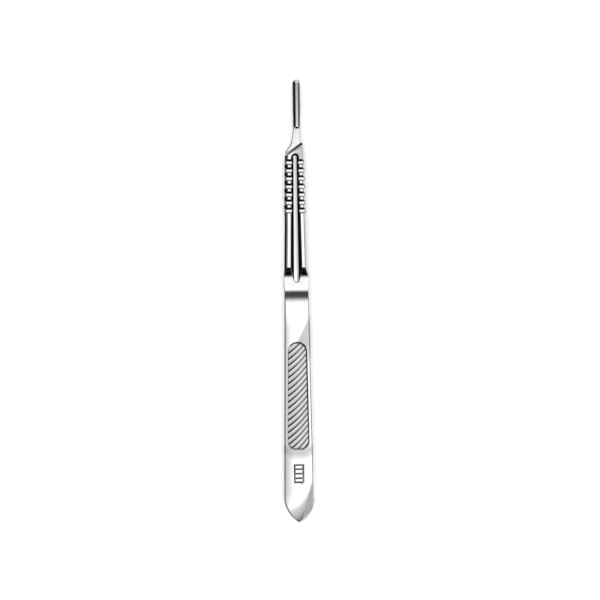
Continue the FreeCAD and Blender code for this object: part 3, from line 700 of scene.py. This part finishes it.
def lug_surface():
    """Vertices, faces and painted shade of the blade lug: its section carried round its plan.
    The plan is a long oval with a half circle at the nose and a flatter bulge at the rear.
    Each place on it is joined to a place on the lug's middle line, and the section says how
    far along that way, and how high, each ring lies."""
    bulge_middle = LUG_REAR + math.sqrt(LUG_BULGE ** 2 - HALF_LUG ** 2)
    bulge_turn = math.asin(HALF_LUG / LUG_BULGE)
    rear_spine = bulge_middle - LUG_BULGE + HALF_LUG
    sides = np.concatenate([
        np.linspace(LUG_REAR, GROOVE_END - 0.15, 9)[1:],
        np.linspace(GROOVE_END - 0.12, GROOVE_END + 0.12, 5),
        np.linspace(GROOVE_END + 0.5, NOSE, 20)[:-1],
    ])
    nose_turn = np.linspace(0, math.pi, 41)
    rear_turn = np.linspace(bulge_turn, -bulge_turn, 17)
    x = np.concatenate([
        np.full(len(sides), HALF_LUG),
        HALF_LUG * np.cos(nose_turn),
        np.full(len(sides), -HALF_LUG),
        -LUG_BULGE * np.sin(rear_turn),
    ])
    y = np.concatenate([
        sides,
        NOSE + HALF_LUG * np.sin(nose_turn),
        sides[::-1],
        bulge_middle - LUG_BULGE * np.cos(rear_turn),
    ])
    spine = np.clip(y, rear_spine, NOSE)
    crown_radius = LUG_CROWN / math.sin(LUG_CROWN_SLANT)
    edge_radius = LUG_EDGE / (math.sin(LUG_EDGE_SLANT) - math.sin(LUG_CROWN_SLANT))
    edge_top = LUG_TOP - crown_radius * (1 - math.cos(LUG_CROWN_SLANT))
    edge_tilt = np.linspace(LUG_EDGE_SLANT, LUG_CROWN_SLANT, 6)
    crown_tilt = np.linspace(LUG_CROWN_SLANT, 0, 8)[1:]
    crown_in = np.concatenate([
        edge_radius * (math.sin(LUG_EDGE_SLANT) - np.sin(edge_tilt)),
        LUG_EDGE + crown_radius * (math.sin(LUG_CROWN_SLANT) - np.sin(crown_tilt)),
    ])
    crown_up = np.concatenate([
        edge_top - edge_radius * (math.cos(LUG_CROWN_SLANT) - np.cos(edge_tilt)),
        LUG_TOP - crown_radius * (1 - np.cos(crown_tilt)),
    ])
    soft = 0.04
    sunk = 0.1
    # Painted shade: full in the groove and rim_dark on the crown's outer edge, standing in for shade
    # and dark reflections
    rim_dark = 0.8
    section = np.array(
        [(HALF_LUG, NECK_FACE - sunk, 0), (GROOVE_DEPTH, NECK_FACE - sunk, 1),
         (GROOVE_DEPTH, NECK_FACE + 0.2, 1), (GROOVE_DEPTH, RIM_FOOT - soft, 1),
         (GROOVE_DEPTH - soft, RIM_FOOT, 1), (soft, RIM_FOOT, 0.9),
         (0, RIM_FOOT + soft, rim_dark)]
        + [(across, height, rim_dark * (across < LUG_EDGE))
           for across, height in zip(crown_in, crown_up)]
        + [(HALF_LUG, LUG_TOP, 0)])
    across, height, dark = section.T
    in_groove = smooth_step(GROOVE_END - 0.1, GROOVE_END + 0.1, y)[:, None]
    lip = 0.02
    in_wall = (height < RIM_FOOT + soft) & (across <= HALF_LUG * 0.9)
    shallow = np.where(in_wall, lip, across)
    way = (across * in_groove + shallow * (1 - in_groove)) / HALF_LUG
    ring_x = LUG_OFFSET + x[:, None] * (1 - way)
    ring_y = y[:, None] + (spine - y)[:, None] * way
    ring_z = np.broadcast_to(height, ring_x.shape)
    rows_round, rings = ring_x.shape
    here = np.arange(rows_round)[:, None]
    beside = np.roll(here, -1, axis=0)
    lower = np.arange(rings - 1)
    upper = lower + 1
    corners = [here * rings + lower, beside * rings + lower,
               beside * rings + upper, here * rings + upper]
    faces = np.stack(corners, axis=-1).reshape(-1, 4)
    places = np.stack([ring_x, ring_y, ring_z], axis=-1).reshape(-1, 3)
    darkness = (dark * in_groove * np.ones_like(ring_x)).ravel()
    return places, faces, darkness, np.zeros(len(places))


def in_frame(places):
    """Millimetres from the rear point and the middle of the thickness, as metres in the frame."""
    return places * MM + np.array([0, REAR_END, MID_HEIGHT])


def make_piece(name, shells, material):
    """One object out of closed shells of vertices, faces, painted shade and the milled finish.
    Places that fall together, at the two ends and on the lug's middle line, are welded."""
    places = []
    faces = []
    shade_and_finish = {"painted_shade": [], "milled": []}
    for shell_places, shell_faces, dark, rough in shells:
        faces.append(shell_faces + sum(len(part) for part in places))
        places.append(shell_places)
        shade_and_finish["painted_shade"].append(dark)
        shade_and_finish["milled"].append(rough)
    corners = np.concatenate(faces)
    mesh = bpy.data.meshes.new(name)
    mesh.from_pydata(in_frame(np.concatenate(places)), [], corners.tolist())
    for label, parts in shade_and_finish.items():
        attribute = mesh.attributes.new(label, "FLOAT", "POINT")
        attribute.data.foreach_set("value", np.concatenate(parts).astype(np.float32))
    work = bmesh.new()
    work.from_mesh(mesh)
    bmesh.ops.remove_doubles(work, verts=work.verts, dist=0.0002 * MM)
    work.to_mesh(mesh)
    work.free()
    mesh.shade_smooth()
    mesh.materials.append(material)
    piece = bpy.data.objects.new(name, mesh)
    bpy.context.scene.collection.objects.link(piece)
    return piece


def node(tree, kind, place, **settings):
    """A shader node with its sockets set by name."""
    made = tree.nodes.new(kind)
    made.location = place
    for key, value in settings.items():
        socket = key.replace("_", " ")
        if socket in made.inputs:
            made.inputs[socket].default_value = value
        else:
            setattr(made, key, value)
    return made


def mix_colour(tree, place, factor, low, high):
    """Two colours mixed by a factor. Each may be a fixed colour or another node's socket."""
    mix = node(tree, "ShaderNodeMix", place, data_type="RGBA")
    for socket, value in ((0, factor), (6, low), (7, high)):
        if isinstance(value, (tuple, float)):
            mix.inputs[socket].default_value = value
        else:
            tree.links.new(value, mix.inputs[socket])
    return mix.outputs[2]


def fine_lines(tree, place, coordinates, stretch, detail):
    """Noise drawn out along the handle, like the marks of a polishing belt."""
    scaling = node(tree, "ShaderNodeMapping", place, Scale=stretch)
    noise = node(tree, "ShaderNodeTexNoise", (place[0] + 200, place[1]), Scale=1.0, Detail=detail)
    tree.links.new(coordinates, scaling.inputs["Vector"])
    tree.links.new(scaling.outputs["Vector"], noise.inputs["Vector"])
    return noise.outputs["Fac"]


def polished_steel():
    """Bright stainless steel, polished along its length. The walls of channel, notches and
    pad, and the other marked places, get painted shade: a near-black colour and a duller
    roughness that stand in for shade and dark reflections. The flanks get a little of it, and
    the channel's floor is milled."""
    belt_dark = (0.84, 0.84, 0.835, 1)
    belt_bright = (0.92, 0.92, 0.915, 1)
    cloudy = (0.70, 0.705, 0.71, 1)
    milled_floor = (0.92, 0.925, 0.93, 1)
    # Near-black painted shade, standing in for shade and dark reflections
    painted_shade_colour = (0.012, 0.0125, 0.0135, 1)
    floor_roughness = 0.15
    painted_shade_roughness = 0.25
    material = bpy.data.materials.new("polished_steel")
    material.use_nodes = True
    tree = material.node_tree
    steel = tree.nodes["Principled BSDF"]
    steel.inputs["Metallic"].default_value = 1.0
    coordinates = node(tree, "ShaderNodeTexCoord", (-1400, 0)).outputs["Object"]
    # The painted shade attribute: where the near-black colour is mixed in
    wall = node(tree, "ShaderNodeAttribute", (-1400, 400), attribute_name="painted_shade").outputs["Fac"]
    floor = node(tree, "ShaderNodeAttribute", (-1400, 250), attribute_name="milled").outputs["Fac"]
    belt = fine_lines(tree, (-1150, -100), coordinates, (2600, 45, 2600), 3.0)
    cloud = fine_lines(tree, (-1150, -400), coordinates, (260, 90, 260), 2.0)

    bright = mix_colour(tree, (-650, 300), belt, belt_dark, belt_bright)
    clouded = mix_colour(tree, (-450, 300), cloud, bright, cloudy)
    cut = mix_colour(tree, (-250, 300), floor, clouded, milled_floor)
    shade_paint = mix_colour(tree, (-50, 300), wall, cut, painted_shade_colour)
    tree.links.new(shade_paint, steel.inputs["Base Color"])

    sheen = node(tree, "ShaderNodeMapRange", (-650, 0), To_Min=0.05, To_Max=0.10)
    tree.links.new(belt, sheen.inputs["Value"])
    duller = node(tree, "ShaderNodeMath", (-450, 0), operation="MULTIPLY_ADD")
    duller.inputs[1].default_value = floor_roughness
    tree.links.new(floor, duller.inputs[0])
    tree.links.new(sheen.outputs["Result"], duller.inputs[2])
    dullest = node(tree, "ShaderNodeMath", (-250, 0), operation="MULTIPLY_ADD")
    dullest.inputs[1].default_value = painted_shade_roughness
    tree.links.new(wall, dullest.inputs[0])
    tree.links.new(duller.outputs["Value"], dullest.inputs[2])
    tree.links.new(dullest.outputs["Value"], steel.inputs["Roughness"])

    bump = node(tree, "ShaderNodeBump", (-250, -250), Strength=0.08, Distance=0.00002)
    tree.links.new(belt, bump.inputs["Height"])
    tree.links.new(bump.outputs["Normal"], steel.inputs["Normal"])
    return material


def plain_finish(name, colour, roughness):
    """A matt surface of one colour, with a faint grain."""
    material = bpy.data.materials.new(name)
    material.use_nodes = True
    tree = material.node_tree
    matt = tree.nodes["Principled BSDF"]
    matt.inputs["Roughness"].default_value = roughness
    coordinates = node(tree, "ShaderNodeTexCoord", (-700, 0)).outputs["Object"]
    grain = node(tree, "ShaderNodeTexNoise", (-500, 0), Scale=40.0)
    tree.links.new(coordinates, grain.inputs["Vector"])
    lighter = tuple(min(1.0, part * 1.01) for part in colour[:3]) + (1,)
    tree.links.new(mix_colour(tree, (-250, 0), grain.outputs["Fac"], colour, lighter),
                   matt.inputs["Base Color"])
    return material


def flat_card(name, corners, material):
    """A flat card with four corners."""
    mesh = bpy.data.meshes.new(name)
    mesh.from_pydata(corners, [], [(0, 1, 2, 3)])
    mesh.materials.append(material)
    card = bpy.data.objects.new(name, mesh)
    bpy.context.scene.collection.objects.link(card)
    return card


def glowing_card(name, corners, strength):
    """A card that only the steel's reflections show. strength is a number, or a function
    that adds nodes to the card's material and returns the socket of its strength."""
    material = bpy.data.materials.new(name)
    material.use_nodes = True
    tree = material.node_tree
    tree.nodes.remove(tree.nodes["Principled BSDF"])
    glow = node(tree, "ShaderNodeEmission", (0, 0))
    tree.links.new(glow.outputs["Emission"], tree.nodes["Material Output"].inputs["Surface"])
    if callable(strength):
        tree.links.new(strength(tree), glow.inputs["Strength"])
    else:
        glow.inputs["Strength"].default_value = strength
    card = flat_card(name, corners, material)
    card.visible_camera = False
    card.visible_diffuse = False
    card.visible_shadow = False


def fading(tree, socket, ends, values, height):
    """A strength that goes smoothly from one value to another between two places."""
    fade = node(tree, "ShaderNodeMapRange", (-500, height), interpolation_type="SMOOTHSTEP",
                From_Min=ends[0], From_Max=ends[1], To_Min=values[0], To_Max=values[1])
    tree.links.new(socket, fade.inputs["Value"])
    return fade.outputs["Result"]


def overhead_strength(tree):
    """The strength of the card overhead: one fade from the left to the middle, times two
    fades from the rear and one towards the front, where it is 0."""
    coordinates = node(tree, "ShaderNodeTexCoord", (-1000, 0))
    split = node(tree, "ShaderNodeSeparateXYZ", (-800, 0))
    tree.links.new(coordinates.outputs["Object"], split.inputs["Vector"])
    whole = fading(tree, split.outputs["X"], (-0.16, 0.0), (0.45, 1.0), 400)
    near_rear = (200, (-0.41, -0.34), (0.55, 1.0))
    far_rear = (0, (-0.70, -0.41), (0.0, 1.0))
    front = (-200, (0.08, 0.23), (1.36, 0.0))
    for place, ends, values in (near_rear, far_rear, front):
        product = node(tree, "ShaderNodeMath", (-200, place), operation="MULTIPLY")
        tree.links.new(whole, product.inputs[0])
        tree.links.new(fading(tree, split.outputs["Y"], ends, values, place), product.inputs[1])
        whole = product.outputs["Value"]
    return whole


def ceiling_card(name, across, along, strength):
    """A card at the height of the ceiling, between two places across and two along."""
    corners = [(across[0], along[0], CEILING), (across[1], along[0], CEILING),
               (across[1], along[1], CEILING), (across[0], along[1], CEILING)]
    glowing_card(name, corners, strength)


def upright_card(name, across, half_length, top, strength):
    """A card that stands on the floor at one place across, along the handle."""
    corners = [(across, -half_length, 0.0), (across, half_length, 0.0),
               (across, half_length, top), (across, -half_length, top)]
    glowing_card(name, corners, strength)


def soft_box(name, centre, size, radiance):
    """A square area light that looks straight down and that the steel doesn't mirror."""
    lamp = bpy.data.lights.new(name, "AREA")
    lamp.size = size
    lamp.energy = radiance * math.pi * size ** 2
    light = bpy.data.objects.new(name, lamp)
    light.location = centre
    light.visible_glossy = False
    light.visible_camera = False
    bpy.context.scene.collection.objects.link(light)


handle = make_piece("handle", [handle_surface(), lug_surface()], polished_steel())
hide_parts(NODE)
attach(handle, "root")

# The floor, a hair below the handle so that the two never fall together
floor_corners = [(-FLOOR_HALF, -FLOOR_HALF, FLOOR_HEIGHT), (FLOOR_HALF, -FLOOR_HALF, FLOOR_HEIGHT),
                 (FLOOR_HALF, FLOOR_HALF, FLOOR_HEIGHT), (-FLOOR_HALF, FLOOR_HALF, FLOOR_HEIGHT)]
flat_card("floor", floor_corners, plain_finish("pale_floor", FLOOR_COLOUR, 0.9))

# Lights: a broad soft box for the floor, and cards for the steel to mirror. The flat faces
# show the card overhead, the right-hand bevel the low card at the right. The flags are dark.
soft_box("fill", (0.0, 0.0, 2.0), 5.0, 1.55)
ceiling_card("overhead", (ROOM_LEFT, ROOM_RIGHT), (OVERHEAD_REAR, OVERHEAD_FRONT), overhead_strength)
ceiling_card("front_flag", (ROOM_LEFT, ROOM_RIGHT), (OVERHEAD_FRONT, 0.38), 0.06)
ceiling_card("front_top", (ROOM_LEFT, 0.75), (0.38, 1.4), 1.1)
ceiling_card("rear_flag", (ROOM_LEFT, ROOM_RIGHT), (-1.85, OVERHEAD_REAR), BLACK_FLAG)
ceiling_card("left_flag", (-1.8, ROOM_LEFT), (-1.0, 1.0), BLACK_FLAG)
ceiling_card("right_flag", (ROOM_RIGHT, 1.8), (-0.22, 0.22), 0.15)
upright_card("left_low", -1.4, 1.6, 0.42, BLACK_FLAG)
upright_card("right_low", 1.4, 1.6, 0.27, 0.95)

world = bpy.data.worlds.new("studio")
bpy.context.scene.world = world
world.use_nodes = True
world.node_tree.nodes["Background"].inputs["Color"].default_value = ROOM_COLOUR

# Camera, straight above, turned so that the lug leans a little to the left
lens = bpy.data.cameras.new("camera")
lens.lens = 200
lens.sensor_width = 36
camera = bpy.data.objects.new("camera", lens)
frame_width = OVERALL * MM * PHOTO_SIZE / HANDLE_PIXELS
pixel = frame_width / PHOTO_SIZE
shift_right = (PHOTO_SIZE / 2 - AXIS_PIXEL[0]) * pixel
shift_up = (AXIS_PIXEL[1] - PHOTO_SIZE / 2) * pixel
camera.location = (
    shift_right * math.cos(ROLL) - shift_up * math.sin(ROLL),
    shift_right * math.sin(ROLL) + shift_up * math.cos(ROLL),
    MID_HEIGHT + frame_width * lens.lens / lens.sensor_width,
)
camera.rotation_euler = (0, 0, ROLL)
bpy.context.scene.collection.objects.link(camera)
bpy.context.scene.camera = camera
bpy.context.scene.view_settings.view_transform = "Standard"
